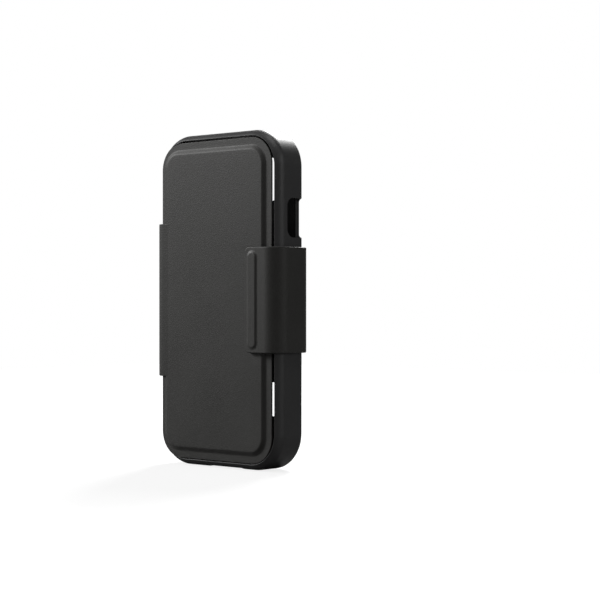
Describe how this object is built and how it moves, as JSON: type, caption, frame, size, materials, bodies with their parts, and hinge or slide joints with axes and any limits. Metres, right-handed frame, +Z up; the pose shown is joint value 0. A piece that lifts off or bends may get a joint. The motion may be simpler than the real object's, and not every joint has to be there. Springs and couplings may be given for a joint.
{
  "type": "wallet case for a handheld device",
  "caption": "Wrap-around wallet case for a phone-sized handheld: moulded shell, folding leather cover, and a strap whose magnetic tab closes on the cover.",
  "frame": {"origin": "middle of the whole case at the height of its bottom edge", "axes": "+Z up along the case, +X towards the button cut-out and strap, -Y out of the front cover"},
  "size_m": [0.084, 0.0252, 0.162],
  "materials": {
    "shell_plastic": "soft matte moulded, neutral dark grey",
    "leather": "smooth fine-grained, warm dark grey, low sheen",
    "lining": "microfibre",
    "board": "fibre board",
    "foam": "closed-cell foam",
    "tape": "bonding sheet",
    "grip_insert": "moulded insert",
    "steel": "thin sheet steel",
    "magnet": "plated disc"
  },
  "bodies": {
    "case": {"shell": "shell_plastic", "back_panel_skin": "leather", "back_panel_board": "board", "back_panel_tape": "tape"},
    "spine": {"spine_skin": "leather", "spine_board": "board", "spine_lining": "lining"},
    "cover": {"cover_skin": "leather", "cover_board": "board", "cover_pad": "foam", "cover_lining": "lining", "card_pocket": "lining", "keeper_plate": "steel"},
    "strap": {"strap_skin": "leather", "strap_lining": "lining"},
    "tab": {"tab_skin": "leather", "tab_board": "board", "tab_grip": "grip_insert", "tab_magnets": "magnet", "tab_lining": "lining"}
  },
  "joints": [
    {"name": "spine_fold", "type": "hinge", "parent": "case", "child": "spine", "pos_m": [-0.04006, 0.01066, 0.081], "axis": [0, 0, -1], "range_deg": [0, 90]},
    {"name": "cover_fold", "type": "hinge", "parent": "spine", "child": "cover", "pos_m": [-0.03988, -0.00978, 0.081], "axis": [0, 0, -1], "range_deg": [0, 175]},
    {"name": "strap_fold", "type": "hinge", "parent": "case", "child": "strap", "pos_m": [0.04006, 0.01066, 0.081], "axis": [0, 0, 1], "range_deg": [0, 150]},
    {"name": "tab_fold", "type": "hinge", "parent": "strap", "child": "tab", "pos_m": [0.03988, -0.00978, 0.081], "axis": [0, 0, 1], "range_deg": [0, 120]}
  ],
  "couplings": [
    {"joint": "cover_fold", "follows": "spine_fold", "ratio": 1.94}
  ]
}
